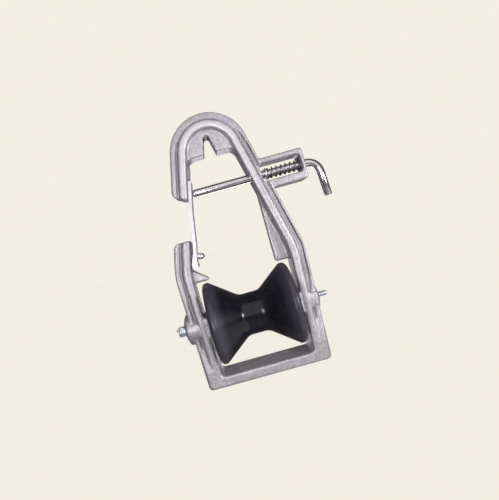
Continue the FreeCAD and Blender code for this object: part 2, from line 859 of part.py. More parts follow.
def cotter_leg(side):
    """Lower leg of the cotter, bent to one side: -1 over the stud's end, +1 along the nut."""
    x = cotter_x()
    foot = axle_z - nut_width / 2 - cotter_radius - nut_bore_clearance
    bend = cotter_bend_radius
    half_bend = math.radians(HALF_TURN / 2) / 2
    corner_x = x + side * bend * (1 - math.cos(half_bend))
    corner = Vec(corner_x, 0, foot - bend * math.sin(half_bend))
    end_of_bend = Vec(x + side * bend, 0, foot - bend)
    return swept(
        [
            Part.LineSegment(Vec(x, 0, axle_z), Vec(x, 0, foot)).toShape(),
            Part.Arc(Vec(x, 0, foot), corner, end_of_bend).toShape(),
            Part.LineSegment(end_of_bend, end_of_bend + Vec(side * cotter_leg_length, 0, 0)).toShape(),
        ],
        cotter_radius,
    )


def make_cotter_pin():
    """Split pin through the nut's slot and the stud, its legs bent apart below the nut."""
    x = cotter_x()
    top = axle_z + nut_width / 2 + cotter_radius
    shank = rod_along(Vec(x, 0, axle_z), ALONG_Z, cotter_radius, top - axle_z)
    eye_z = top + cotter_eye_radius
    eye = Part.makeTorus(cotter_eye_radius, cotter_radius, Vec(x, 0, eye_z), ALONG_Y)
    return turned_with_cotter(shank.fuse([eye, cotter_leg(-1), cotter_leg(1)]).removeSplitter())


def nose_x():
    """X of the plunger's tip, just off the closed gate's inner face."""
    slope = gate_upper_slope
    contact = nose_round / math.cos(slope) - nose_round
    return gate_face_x(rod_z) + contact + nose_gap / math.cos(slope)


def make_plunger_rod():
    """Round rod with a domed nose, a cross hole and a handle bent down at its outer end."""
    tip = nose_x()
    bend_x = housing_end_x + handle_stub
    edge = math.sqrt(nose_round ** 2 - (rod_radius - nose_chamfer) ** 2)
    nose = Part.makeSphere(nose_round, Vec(tip + nose_round, 0, rod_z))
    dome_end = tip + nose_round - edge
    cone = Part.makeCone(
        rod_radius - nose_chamfer, rod_radius, nose_chamfer, Vec(dome_end, 0, rod_z), ALONG_X
    )
    cap = nose.common(rod_along(Vec(tip, 0, rod_z), ALONG_X, rod_radius, dome_end - tip))
    straight_start = dome_end + nose_chamfer
    turn = math.radians(HALF_TURN / 2 - handle_lean)
    radius = handle_bend_radius
    centre_z = rod_z - radius
    middle = Vec(bend_x + radius * math.sin(turn / 2), 0, centre_z + radius * math.cos(turn / 2))
    end_of_bend = Vec(bend_x + radius * math.sin(turn), 0, centre_z + radius * math.cos(turn))
    along_leg = Vec(math.cos(turn), 0, -math.sin(turn))
    leg_length = (end_of_bend.z - rod_z + handle_drop) / math.sin(turn) - handle_chamfer
    leg_end = end_of_bend + along_leg * leg_length
    bar = swept(
        [
            Part.LineSegment(Vec(straight_start, 0, rod_z), Vec(bend_x, 0, rod_z)).toShape(),
            Part.Arc(Vec(bend_x, 0, rod_z), middle, end_of_bend).toShape(),
            Part.LineSegment(end_of_bend, leg_end).toShape(),
        ],
        rod_radius,
    )
    end_cone = Part.makeCone(rod_radius, rod_radius - handle_chamfer, handle_chamfer, leg_end, along_leg)
    rod = bar.fuse([cap, cone, end_cone]).removeSplitter()
    return rod.cut(cross_pin_solid(cross_pin_radius, cross_pin_reach))


def cross_pin_x():
    return washer_seat_x - cross_pin_radius


def cross_pin_solid(radius, reach):
    start = Vec(cross_pin_x(), 0, rod_z - reach)
    return rod_along(start, ALONG_Z, radius, 2 * reach)


def make_cross_pin():
    return cross_pin_solid(cross_pin_radius, cross_pin_reach)


def make_spring_washer():
    bore = rod_radius + rod_clearance
    return ring_along_x(
        spring_washer_radius, bore, washer_seat_x, washer_seat_x + spring_washer_thickness, rod_z
    )


def make_plunger_spring():
    """Coil spring between the washer and the housing's end wall."""
    start = washer_seat_x + spring_washer_thickness + spring_wire_radius + spring_end_gap
    end = window_right_x - spring_wire_radius - spring_end_gap
    helix = Part.makeHelix(spring_pitch, end - start, spring_mean_radius)
    section = Part.Wire(Part.makeCircle(spring_wire_radius, Vec(spring_mean_radius, 0, 0), ALONG_Y))
    coil = Part.Wire(helix).makePipeShell([section], True, True)
    coil.rotate(ORIGIN, ALONG_Y, HALF_TURN / 2)
    coil.translate(Vec(start, 0, rod_z))
    return coil


def make_gate_strap():
    """Flat gate with two gentle bends and a fork at its foot that straddles the hinge lug."""
    heights = [gate_top_z, gate_upper_bend_z, gate_lower_bend_z, gate_foot_z]
    inner = [(gate_face_x(z), z) for z in heights]
    outer = [(gate_face_x(z) - gate_across, z) for z in heights]
    bend = gate_bend_radius
    radii = [gate_edge_round, bend, bend, 0]
    strap = plate(inner + outer[::-1], radii + radii[::-1], gate_width)
    ears = make_gate_ear().fuse(mirror_in_y(make_gate_ear()))
    return strap.fuse(ears).removeSplitter()


def make_gate_ear():
    """Front ear of the gate, from the strap's side down round the hinge pin."""
    low = hinge_z - ear_radius
    points = [
        (gate_face_x(ear_top_z), ear_top_z),
        (gate_face_x(ear_top_z) - gate_across, ear_top_z),
        (hinge_x - ear_radius, hinge_z + ear_radius),
        (hinge_x - ear_radius, low),
        (hinge_x + ear_radius, low),
        (gate_face_x(gate_foot_z), gate_foot_z),
    ]
    foot_round = ear_radius - ear_flat
    radii = [0, 0, ear_radius, foot_round, foot_round, 0]
    ear = plate(points, radii, ear_width)
    ear.translate(Vec(0, -(gate_width - ear_width) / 2, 0))
    bore = rod_along(Vec(hinge_x, -gate_width, hinge_z), ALONG_Y, hinge_pin_radius, gate_width)
    return ear.cut(bore)


def mirror_in_y(solid):
    return solid.mirror(ORIGIN, ALONG_Y)


def make_hinge_pin():
    half = gate_width / 2
    return rod_along(
        Vec(hinge_x, -half - hinge_pin_head, hinge_z), ALONG_Y, hinge_pin_radius,
        gate_width + 2 * hinge_pin_head,
    )


def stop_stud_frame():
    """Point on the gate's inner face where the stop stud stands, and the face's normal."""
    slope = gate_lower_slope
    return Vec(gate_face_x(stop_stud_z), 0, stop_stud_z), Vec(math.cos(slope), 0, -math.sin(slope))


def make_stop_stud():
    """Round-ended stud riveted into the gate's inner face."""
    foot, outward = stop_stud_frame()
    barrel = rod_along(foot, outward, stop_stud_radius, stop_stud_length - stop_stud_dome)
    dome_radius = (stop_stud_radius ** 2 + stop_stud_dome ** 2) / (2 * stop_stud_dome)
    centre = foot + outward * (stop_stud_length - dome_radius)
    reach = rod_along(foot, outward, stop_stud_radius, stop_stud_length)
    dome = Part.makeSphere(dome_radius, centre).common(reach)
    shank = rod_along(foot - outward * gate_thickness, outward, stop_stud_shank_radius, gate_thickness)
    return barrel.fuse([dome, shank]).removeSplitter()


def make_all():
    foot, outward = stop_stud_frame()
    hole_start = foot - outward * 2 * gate_thickness
    stud_hole = rod_along(hole_start, outward, stop_stud_shank_radius, 2 * gate_thickness)
    bush = make_bush()
    thrust_washer = make_thrust_washer()
    return {
        "frame_casting": make_frame_casting(),
        "roller_tyre": make_roller_tyre(),
        "roller_core": make_roller_core(),
        "left_bush": mirrored_in_x(bush),
        "right_bush": bush,
        "axle_sleeve": make_axle_sleeve(),
        "axle_stud": make_axle_stud(),
        "left_thrust_washer": mirrored_in_x(thrust_washer),
        "right_thrust_washer": thrust_washer,
        "nut_washer": make_nut_washer(),
        "slotted_nut": make_slotted_nut(),
        "cotter_pin": make_cotter_pin(),
        "gate_strap": make_gate_strap().cut(stud_hole),
        "gate_hinge_pin": make_hinge_pin(),
        "gate_stop_stud": make_stop_stud(),
        "plunger_rod": make_plunger_rod(),
        "plunger_cross_pin": make_cross_pin(),
        "spring_washer": make_spring_washer(),
        "plunger_spring": make_plunger_spring(),
    }


os.makedirs("parts", exist_ok=True)
for name, shape in make_all().items():
    shape.exportStep("parts/" + name + ".step")
    print(name, shape.ShapeType, len(shape.Solids), round(shape.Volume, 2), shape.isValid())
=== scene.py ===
import bpy
import math
from mathutils import Matrix, Vector


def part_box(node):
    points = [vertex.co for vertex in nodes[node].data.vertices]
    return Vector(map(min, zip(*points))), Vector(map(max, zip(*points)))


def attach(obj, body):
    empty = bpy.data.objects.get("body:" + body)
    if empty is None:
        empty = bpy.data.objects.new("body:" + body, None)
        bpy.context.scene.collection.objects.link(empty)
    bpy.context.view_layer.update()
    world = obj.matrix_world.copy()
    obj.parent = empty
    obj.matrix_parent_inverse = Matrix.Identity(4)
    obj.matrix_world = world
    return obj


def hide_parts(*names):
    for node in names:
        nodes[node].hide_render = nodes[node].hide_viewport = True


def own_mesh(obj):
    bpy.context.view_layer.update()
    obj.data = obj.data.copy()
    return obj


# A cable stringing block dressed for its portrait. Metres, in the part's own frame: X along the
# roller's axis, Y from the front to the back, Z up from the flat foot.

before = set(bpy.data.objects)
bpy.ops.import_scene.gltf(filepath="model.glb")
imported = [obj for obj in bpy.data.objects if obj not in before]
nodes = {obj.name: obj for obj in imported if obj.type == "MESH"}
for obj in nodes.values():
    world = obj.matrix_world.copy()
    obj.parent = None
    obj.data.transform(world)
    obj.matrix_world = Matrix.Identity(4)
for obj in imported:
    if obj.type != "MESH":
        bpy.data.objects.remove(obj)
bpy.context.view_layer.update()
scene = bpy.context.scene

MM = 0.001
IMAGE_WIDTH, IMAGE_HEIGHT = 499, 500

# Camera: a level look along +Y, turned about its own axis
CAMERA_PLACE = Vector((-12.1, -449.0, 176.1)) * MM
CAMERA_TURN = math.radians(15.5)
CAMERA_FOCAL_PX = 366.7
CAMERA_CENTRE_PX = (221.8, 234.2)
SENSOR_MM = 36.0

# Studio lamps, each by its bearing and rise in degrees as seen from the roller, watts and width
LAMP_AIM = Vector((0, 0, 90)) * MM
LAMP_DISTANCE = 0.6
LAMPS = {
    "right_lamp": (47.0, 6.4, 1.55, 0.13),
    "left_lamp": (-18.0, 4.0, 1.1, 0.13),
    "high_lamp": (4.0, 33.0, 1.75, 0.8),
    "low_lamp": (0.0, -50.0, 0.3, 0.6),
    "low_right_lamp": (60.0, -40.0, 0.75, 0.6),
    "back_lamp": (180.0, -14.0, 0.7, 0.2),
}
ROOM_COLOUR = (0.90, 0.88, 0.94, 1)
ROOM_STRENGTH = 0.06
ROOM_GLOSS_STRENGTH = 0.16

# Studio paper
PAPER_COLOUR = (0.896, 0.863, 0.776)
PAPER_WARMTH = (0.995, 0.995, 0.99)
PAPER_ROUGHNESS = 0.9
PAPER_GRAIN = (9.0, 2.0)
BACKDROP_GLOW = 1.0
BACKDROP_TINT = (0, 0, 0, 1)
DOME_RADIUS = 4.0
DOME_SEGMENTS = 64
DOME_RINGS = 32
FLOOR_GLOW = 0.985
FLOOR_TINT = (0.010, 0.0096, 0.0086, 1)
FLOOR_RADIUS = 3.9
FLOOR_SEGMENTS = 96

# Casting: its corners are rounded by the sand mould and by tumbling
CAST_GRID = 0.95 * MM
CAST_WEAR_FACTOR = 0.5
CAST_WEAR_STEPS = 14
CAST_KEPT_FACES = 0.35
HOOK_CENTRE_Z = 274.1 * MM
HOOK_RADIUS = 28.2 * MM
BEND_Z = 138.5 * MM
BEND_HALF_WIDTH = 60.55 * MM
LEG_LEAN = math.radians(13.116)
ARM_LEAN = math.radians(2.0)
BEAD_WIDTH = 9.6 * MM
VALLEY_OUTER = 13.2 * MM
LEG_VALLEY_OUTER = 16.0 * MM
SECTION_WIDTH = 19.2 * MM
BEAD_FACE_Y = 19.05 * MM
LIP_FACE_Y = 16.0 * MM
LIP_SKIN_Y = 16.45 * MM
VALLEY_FLOOR_Y = 14.0 * MM
LEG_VALLEY_FLOOR_Y = 12.5 * MM
BEAD_CROWN = 1.5 * MM
LIP_FALL = 1.1 * MM
VALLEY_SIDE = 1.8 * MM
CROWN_REACH = 40.0 * MM
VALLEY_START = -16.0 * MM
VALLEY_FULL = 16.0 * MM
ARM_VALLEY_FULL_Z = 101.0 * MM
ARM_VALLEY_END_Z = 80.0 * MM
FOOT_CLEAR_Z = 24.0 * MM
FOOT_FADE_Z = 54.0 * MM

# Axle stud
AXLE_HEIGHT = 73.7 * MM
THREAD_PITCH = 1.27 * MM
THREAD_DEPTH = 0.72 * MM
THREAD_FLAT = 0.14
THREAD_LENGTH_LEFT = 17.0 * MM
THREAD_LENGTH_RIGHT = 14.0 * MM
THREAD_STEPS = 10
THREAD_SEGMENTS = 40
STUD_CHAMFER = 1.0 * MM

# Plunger rod: a domed nose, a straight bar and a handle bent down beyond the housing
NOSE_LENGTH = 2.6 * MM
NOSE_STEPS = 8
HANDLE_STUB = 3.7 * MM
HANDLE_BEND_RADIUS = 15.4 * MM
HANDLE_TURN = math.radians(87.0)
HANDLE_DROP = 44.95 * MM
HANDLE_CHAMFER = 0.8 * MM
ROD_SEGMENTS = 48
BEND_STEPS = 20

# Spring: its coils close up at both ends, which are ground flat
SPRING_WIRE_RADIUS = 0.95 * MM
SPRING_INNER_RADIUS = 4.90 * MM
SPRING_ACTIVE_TURNS = 6.5
SPRING_CLOSED_TURNS = 1.0
SPRING_CLOSED_RISE = 2 * SPRING_WIRE_RADIUS * 1.02
SPRING_RING_SEGMENTS = 14
SPRING_STEPS_PER_TURN = 40
SPRING_TRAVEL = 22.0 * MM

# Finishes. A noise is its scale per metre and its detail, a bump its depth and strength, and a
# spread the range of a value and the range that it becomes.
NOISE_RANGE = (0.3, 0.7)
PATCH_EDGES = (0.35, 0.65)
CREASE_SAMPLES = 8

CAST_METALLIC = 0.55
CAST_GRAIN = (950.0, 4.0)
CAST_GRAIN_SPREAD = (0.40, 0.60, 0.55, 1.0)
CAST_GRAIN_BUMP = (0.25 * MM, 0.5)
CAST_DENTS = (330.0, 4.0)
CAST_DENTS_SPREAD = (0.38, 0.62, 0.55, 1.0)
CAST_DENTS_BUMP = (0.6 * MM, 0.45)
CAST_MOTTLE = (75.0, 5.0)
CAST_MOTTLE_BUMP = (0.8 * MM, 0.45)
CAST_STAIN = (22.0, 3.0)
CAST_STAIN_SPREAD = (0.42, 0.7, 0.0, 0.35)
# Painted shade: creases and recesses that the occlusion finds are painted darker
CAST_CREASE_REACH = 8.0 * MM
CAST_CREASE_SPREAD = (0.45, 0.98, 0.0, 1.0)
# Rubbed wear and painted highlight: the bead's proud face high on the hook is painted paler
CAST_RUBBED_AND_HIGHLIT_DEPTH_SPREAD = (17.2 * MM, BEAD_FACE_Y, 0.0, 0.5)
CAST_RUBBED_AND_HIGHLIT_HEIGHT_SPREAD = (190.0 * MM, HOOK_CENTRE_Z, 0.0, 1.0)
CAST_SEAM_SPREAD = (0.2 * MM, 0.7 * MM, 1.0, 0.0)
CAST_SEAM_BUMP = (0.15 * MM, 0.6)
CAST_ROUGHNESS_SPREAD = (0.75, 1.25, 0.38, 0.56)
CAST_GREY = (0.56, 0.535, 0.57, 1)
CAST_PALE = (0.69, 0.665, 0.69, 1)
CAST_STAINED = (0.50, 0.48, 0.52, 1)
CAST_DENTED = (0.33, 0.30, 0.34, 1)
CAST_FLECKED = (0.38, 0.355, 0.39, 1)
# rubbed wear and painted highlight on the hook's bead
CAST_RUBBED_AND_HIGHLIT = (0.86, 0.835, 0.87, 1)
# painted shade in creases and recesses
CAST_CREASE_SHADE = (0.17, 0.152, 0.175, 1)

RUBBER_SPECULAR = 0.38
RUBBER_RINGS = (650.0, 4.0)
RUBBER_RINGS_BUMP = (0.10 * MM, 0.35)
RUBBER_BANDS = (110.0, 2.0)
RUBBER_CLOUD = (60.0, 4.0)
RUBBER_BLOOM_SPREAD = (0.50, 0.75, 0.0, 0.4)
RUBBER_DUST = (700.0, 4.0)
RUBBER_DUST_SPREAD = (0.60, 0.74, 0.0, 0.3)
RUBBER_DUST_BUMP = (0.05 * MM, 0.35)
RUBBER_SCUFF_SPREAD = (39.6 * MM, 49.5 * MM, 0.0, 0.8)
RUBBER_POLISH_SPREAD = (11.2 * MM, 30.8 * MM, 0.0, 0.08)
RUBBER_ROUGHNESS = (0.17, 0.26)
RUBBER_BLACK = (0.0022, 0.0017, 0.0044, 1)
RUBBER_GREY = (0.0070, 0.0056, 0.0118, 1)
RUBBER_BLOOM = (0.016, 0.0135, 0.024, 1)
RUBBER_SCUFFED = (0.058, 0.052, 0.072, 1)
RUBBER_DUSTY = (0.075, 0.070, 0.080, 1)

ZINC_RINGS = (2600.0, 2.0)
ZINC_RINGS_BUMP = (0.03 * MM, 0.4)
ZINC_PATCHES = (520.0, 4.0)
ZINC_PATCHES_BUMP = (0.06 * MM, 0.3)
ZINC_ROUGHNESS = (0.28, 0.46)
ZINC_DULL = (0.62, 0.66, 0.71, 1)
ZINC_BRIGHT = (0.90, 0.92, 0.94, 1)

ROD_LINES = (900.0, 3.0)
ROD_LINES_ROUGHNESS = (0.0, 0.01)
ROD_CLOUD = (160.0, 3.0)
ROD_CLOUD_ROUGHNESS = (0.14, 0.17)
ROD_CLOUD_BUMP = (0.001 * MM, 0.2)
ROD_DULL = (0.58, 0.56, 0.575, 1)
ROD_BRIGHT = (0.67, 0.65, 0.665, 1)

GATE_METALLIC = 0.55
GATE_BRUSH = (1.0, 4.0)
GATE_BRUSH_STRETCH = (1500.0, 1500.0, 60.0)
GATE_BRUSH_SPREAD = (0.30, 0.55, 0.45, 1.0)
GATE_BRUSH_BUMP = (0.05 * MM, 0.4)
GATE_PATCHES = (130.0, 4.0)
GATE_ROUGHNESS = (0.46, 0.62)
GATE_DULL = (0.68, 0.66, 0.68, 1)
GATE_BRIGHT = (0.84, 0.82, 0.84, 1)
GATE_BRUSHED = (0.50, 0.48, 0.51, 1)

WIRE_STREAKS = (900.0, 3.0)
WIRE_STREAKS_SPREAD = (0.55, 0.72, 0.0, 0.6)
WIRE_STREAKS_BUMP = (0.05 * MM, 0.3)
WIRE_PATCHES = (240.0, 3.0)
WIRE_ROUGHNESS = (0.24, 0.38)
WIRE_OILED = (0.24, 0.225, 0.235, 1)
WIRE_BARE = (0.44, 0.42, 0.43, 1)
WIRE_RUBBED = (0.70, 0.68, 0.68, 1)

TURNED_RINGS = (1900.0, 3.0)
TURNED_RINGS_SPREAD = (0.35, 0.55, 0.7, 1.0)
TURNED_RINGS_BUMP = (0.05 * MM, 0.5)
TURNED_PATCHES = (180.0, 4.0)
HUB_DULL = (0.50, 0.50, 0.52, 1)
HUB_BRIGHT = (0.72, 0.72, 0.74, 1)
HUB_ROUGHNESS = (0.28, 0.42)
BRONZE_DULL = (0.30, 0.19, 0.08, 1)
BRONZE_BRIGHT = (0.50, 0.33, 0.15, 1)
BRONZE_ROUGHNESS = (0.25, 0.40)


def make_camera():
    """Camera by its focal length and centre in pixels of the picture."""
    data = bpy.data.cameras.new("camera")
    longest = max(IMAGE_WIDTH, IMAGE_HEIGHT)
    data.sensor_width = SENSOR_MM
    data.lens = CAMERA_FOCAL_PX / longest * SENSOR_MM
    data.shift_x = (IMAGE_WIDTH / 2 - CAMERA_CENTRE_PX[0]) / longest
    data.shift_y = (CAMERA_CENTRE_PX[1] - IMAGE_HEIGHT / 2) / longest
    camera = bpy.data.objects.new("camera", data)
    scene.collection.objects.link(camera)
    right = Vector((math.cos(CAMERA_TURN), 0, -math.sin(CAMERA_TURN)))
    up = Vector((math.sin(CAMERA_TURN), 0, math.cos(CAMERA_TURN)))
    turn = Matrix((right, up, right.cross(up))).transposed()
    camera.matrix_world = Matrix.Translation(CAMERA_PLACE) @ turn.to_4x4()
    scene.camera = camera


def make_lamp(name, bearing, rise, watts, width):
    """Square soft lamp at a bearing and rise, in degrees, as seen from the roller."""
    bearing, rise = math.radians(bearing), math.radians(rise)
    level = math.cos(rise)
    out = Vector((math.sin(bearing) * level, -math.cos(bearing) * level, math.sin(rise)))
    data = bpy.data.lights.new(name, "AREA")
    data.shape = "SQUARE"
    data.size = width
    data.energy = watts
    light = bpy.data.objects.new(name, data)
    scene.collection.objects.link(light)
    light.location = LAMP_AIM + out * LAMP_DISTANCE
    light.rotation_euler = (-out).to_track_quat("-Z", "Y").to_euler()


# Procedural finishes, all in the part's own coordinates


class Finish:
    """A material whose nodes read the piece's own coordinates, in metres."""

    def __init__(self, name, metallic):
        self.material = bpy.data.materials.new(name)
        self.material.use_nodes = True
        self.tree = self.material.node_tree
        self.shader = self.tree.nodes["Principled BSDF"]
        self.shader.inputs["Metallic"].default_value = metallic
        self.place = self.add("ShaderNodeTexCoord").outputs["Object"]
        self.normal = None

    def add(self, kind, **settings):
        node = self.tree.nodes.new(kind)
        for key, value in settings.items():
            setattr(node, key, value)
        return node

    def feed(self, socket, value):
        if isinstance(value, bpy.types.NodeSocket):
            self.tree.links.new(value, socket)
        else:
            socket.default_value = value

    def math(self, operation, first, second=0.0):
        node = self.add("ShaderNodeMath", operation=operation)
        self.feed(node.inputs[0], first)
        self.feed(node.inputs[1], second)
        return node.outputs[0]

    def stretched(self, scale):
        node = self.add("ShaderNodeMapping")
        self.feed(node.inputs["Vector"], self.place)
        node.inputs["Scale"].default_value = scale
        return node.outputs[0]

    def noise(self, scale, detail, place=None):
        node = self.add("ShaderNodeTexNoise")
        self.feed(node.inputs["Vector"], place or self.place)
        node.inputs["Scale"].default_value = scale
        node.inputs["Detail"].default_value = detail
        return node.outputs[0]

    def span(self, value, low, high, to_low, to_high):
        """Value's range from low to high, eased onto another range."""
        node = self.add("ShaderNodeMapRange", interpolation_type="SMOOTHSTEP")
        for socket, number in zip(node.inputs, (value, low, high, to_low, to_high)):
            self.feed(socket, number)
        return node.outputs[0]

    def spread(self, noise, to_low, to_high):
        """A noise's usual range, eased onto another range."""
        return self.span(noise, *NOISE_RANGE, to_low, to_high)

    def mix(self, share, first, second):
        node = self.add("ShaderNodeMix", data_type="RGBA")
        self.feed(node.inputs[0], share)
        self.feed(node.inputs[6], first)
        self.feed(node.inputs[7], second)
        return node.outputs[2]

    def patches(self, noise, first, second):
        """Two colours in soft patches."""
        return self.mix(self.span(noise, *PATCH_EDGES, 0.0, 1.0), first, second)

    def axes(self):
        node = self.add("ShaderNodeSeparateXYZ")
        self.feed(node.inputs[0], self.place)
        return node.outputs

    def away(self):
        """Distance from the roller's axis."""
        y, z = self.axes()[1:]
        rise = self.math("SUBTRACT", z, AXLE_HEIGHT)
        squares = self.math("MULTIPLY", y, y), self.math("MULTIPLY", rise, rise)
        return self.math("SQRT", self.math("ADD", *squares))

    def rings(self):
        """Coordinates along and away from the roller's axis, so that a noise makes turned rings."""
        node = self.add("ShaderNodeCombineXYZ")
        self.feed(node.inputs[0], self.axes()[0])
        self.feed(node.inputs[1], self.away())
        return node.outputs[0]

    def hollow(self, reach):
        """Near 1 in the open and lower in creases; it drives painted shade."""
        node = self.add("ShaderNodeAmbientOcclusion", samples=CREASE_SAMPLES, only_local=True)
        node.inputs["Distance"].default_value = reach
        return node.outputs["AO"]

    def bump(self, height, depth, strength):
        node = self.add("ShaderNodeBump")
        node.inputs["Strength"].default_value = strength
        node.inputs["Distance"].default_value = depth
        self.feed(node.inputs["Height"], height)
        if self.normal:
            self.feed(node.inputs["Normal"], self.normal)
        self.normal = node.outputs[0]

    def done(self, colour, roughness):
        self.feed(self.shader.inputs["Base Color"], colour)
        self.feed(self.shader.inputs["Roughness"], roughness)
        self.feed(self.shader.inputs["Normal"], self.normal)
        return self.material


def cast_colour(made, grain, dents, mottle, away_from_middle):
    """Mottled, stained and flecked metal, rubbed bright with a painted highlight on the hook's bead, and
    darkened in creases by painted shade.
    """
    light = made.mix(made.spread(mottle, 0.0, 1.0), CAST_GREY, CAST_PALE)
    stain = made.span(made.noise(*CAST_STAIN), *CAST_STAIN_SPREAD)
    worn = made.mix(stain, light, CAST_STAINED)
    pitted = made.mix(made.span(dents, *CAST_DENTS_SPREAD), CAST_DENTED, worn)
    flecked = made.mix(made.span(grain, *CAST_GRAIN_SPREAD), CAST_FLECKED, pitted)
    proud = made.span(away_from_middle, *CAST_RUBBED_AND_HIGHLIT_DEPTH_SPREAD)
    high = made.span(made.axes()[2], *CAST_RUBBED_AND_HIGHLIT_HEIGHT_SPREAD)
    # Rubbed wear and painted highlight: paler on the bead's proud face near the top of the hook
    rubbed = made.mix(made.math("MULTIPLY", proud, high), flecked, CAST_RUBBED_AND_HIGHLIT)
    # Painted shade: darker where the occlusion finds creases and recesses
    crease_shade = made.span(made.hollow(CAST_CREASE_REACH), *CAST_CREASE_SPREAD)
    return made.mix(crease_shade, CAST_CREASE_SHADE, rubbed)


def cast_aluminium():
    """Sand-cast and tumbled: a fine grain, soft dents and a faint parting line."""
    made = Finish("cast_aluminium", CAST_METALLIC)
    grain = made.noise(*CAST_GRAIN)
    dents = made.noise(*CAST_DENTS)
    mottle = made.noise(*CAST_MOTTLE)
    away_from_middle = made.math("ABSOLUTE", made.axes()[1])
    colour = cast_colour(made, grain, dents, mottle, away_from_middle)
    made.bump(mottle, *CAST_MOTTLE_BUMP)
    made.bump(dents, *CAST_DENTS_BUMP)
    made.bump(grain, *CAST_GRAIN_BUMP)
    made.bump(made.span(away_from_middle, *CAST_SEAM_SPREAD), *CAST_SEAM_BUMP)
    return made.done(colour, made.span(made.math("ADD", grain, dents), *CAST_ROUGHNESS_SPREAD))


def roller_rubber():
    """Moulded rubber with rings round the roller, scuffed dusty rims, and a waist polished by cables."""
    made = Finish("roller_rubber", 0.0)
    made.shader.inputs["Specular IOR Level"].default_value = RUBBER_SPECULAR
    ring_place = made.rings()
    rings = made.noise(*RUBBER_RINGS, ring_place)
    cloud = made.noise(*RUBBER_CLOUD)
    dust = made.noise(*RUBBER_DUST)
    base = made.patches(made.noise(*RUBBER_BANDS, ring_place), RUBBER_BLACK, RUBBER_GREY)
    bloom = made.mix(made.span(cloud, *RUBBER_BLOOM_SPREAD), base, RUBBER_BLOOM)
    scuffed = made.mix(made.span(made.away(), *RUBBER_SCUFF_SPREAD), bloom, RUBBER_SCUFFED)
    colour = made.mix(made.span(dust, *RUBBER_DUST_SPREAD), scuffed, RUBBER_DUSTY)
    made.bump(rings, *RUBBER_RINGS_BUMP)
    made.bump(dust, *RUBBER_DUST_BUMP)
    along = made.math("ABSOLUTE", made.axes()[0])
    polish = made.span(along, *RUBBER_POLISH_SPREAD)
    return made.done(colour, made.math("ADD", polish, made.spread(cloud, *RUBBER_ROUGHNESS)))


def plated_steel():
    """Bright zinc over turned steel, slightly mottled."""
    made = Finish("plated_steel", 1.0)
    patch = made.noise(*ZINC_PATCHES)
    made.bump(made.noise(*ZINC_RINGS, made.rings()), *ZINC_RINGS_BUMP)
    made.bump(patch, *ZINC_PATCHES_BUMP)
    return made.done(made.patches(patch, ZINC_DULL, ZINC_BRIGHT), made.spread(patch, *ZINC_ROUGHNESS))


def rod_steel():
    """Bright drawn bar, faintly clouded."""
    made = Finish("rod_steel", 1.0)
    cloud = made.noise(*ROD_CLOUD)
    colour = made.mix(made.spread(cloud, 0.0, 1.0), ROD_DULL, ROD_BRIGHT)
    made.bump(cloud, *ROD_CLOUD_BUMP)
    lines = made.spread(made.noise(*ROD_LINES), *ROD_LINES_ROUGHNESS)
    return made.done(colour, made.math("ADD", lines, made.spread(cloud, *ROD_CLOUD_ROUGHNESS)))


def gate_steel():
    """Zinc-plated strap, brushed along its length, with a few dull patches."""
    made = Finish("gate_steel", GATE_METALLIC)
    brush = made.noise(*GATE_BRUSH, made.stretched(GATE_BRUSH_STRETCH))
    patch = made.noise(*GATE_PATCHES)
    pale = made.patches(patch, GATE_DULL, GATE_BRIGHT)
    colour = made.mix(made.span(brush, *GATE_BRUSH_SPREAD), GATE_BRUSHED, pale)
    made.bump(brush, *GATE_BRUSH_BUMP)
    return made.done(colour, made.spread(patch, *GATE_ROUGHNESS))


def spring_steel():
    """Oiled spring wire, dark with bright rubbed streaks."""
    made = Finish("spring_steel", 1.0)
    streak = made.noise(*WIRE_STREAKS)
    patch = made.noise(*WIRE_PATCHES)
    dark = made.patches(patch, WIRE_OILED, WIRE_BARE)
    colour = made.mix(made.span(streak, *WIRE_STREAKS_SPREAD), dark, WIRE_RUBBED)
    made.bump(streak, *WIRE_STREAKS_BUMP)
    return made.done(colour, made.spread(patch, *WIRE_ROUGHNESS))


def turned_metal(name, dull, bright, roughness):
    """Lathe-turned metal with rings about the axle."""
    made = Finish(name, 1.0)
    rings = made.noise(*TURNED_RINGS, made.rings())
    patch = made.noise(*TURNED_PATCHES)
    colour = made.mix(made.span(rings, *TURNED_RINGS_SPREAD), dull, made.patches(patch, dull, bright))
    made.bump(rings, *TURNED_RINGS_BUMP)
    return made.done(colour, made.spread(patch, *roughness))


def paper(name, strength, tint):
    """Pale studio paper that glows evenly, with a little grain in its glow."""
    made = Finish(name, 0.0)
    made.shader.inputs["Specular IOR Level"].default_value = 0
    made.shader.inputs["Base Color"].default_value = tint
    made.shader.inputs["Roughness"].default_value = PAPER_ROUGHNESS
    made.shader.inputs["Emission Strength"].default_value = strength
    warm = [part * share for part, share in zip(PAPER_COLOUR, PAPER_WARMTH)]
    glow = made.mix(made.noise(*PAPER_GRAIN), (*PAPER_COLOUR, 1), (*warm, 1))
    made.feed(made.shader.inputs["Emission Color"], glow)
    return made.material


def dress(node, material):
    """Gives a solid its finish."""
    nodes[node].data.materials.clear()
    nodes[node].data.materials.append(material)


# Pieces with more detail than their solids


def skin_of_rings(name, rings, material):
    """Smooth closed skin over rings of equal count, capped at both ends."""
    count = len(rings[0])
    points = [point for ring in rings for point in ring]
    faces = [tuple(range(count))[::-1], tuple(range(len(points) - count, len(points)))]
    for i in range(len(rings) - 1):
        for j in range(count):
            k = (j + 1) % count
            faces.append((i * count + j, i * count + k, (i + 1) * count + k, (i + 1) * count + j))
    mesh = bpy.data.meshes.new(name)
    mesh.from_pydata(points, [], faces)
    mesh.update()
    for face in mesh.polygons:
        face.use_smooth = len(face.vertices) == 4
    mesh.materials.append(material)
    piece = bpy.data.objects.new(name, mesh)
    scene.collection.objects.link(piece)
    return piece


def eased(value, low, high):
    """Share of the way from low to high, eased at both ends."""
    share = min(max((value - low) / (high - low), 0.0), 1.0)
    return share * share * (3 - 2 * share)


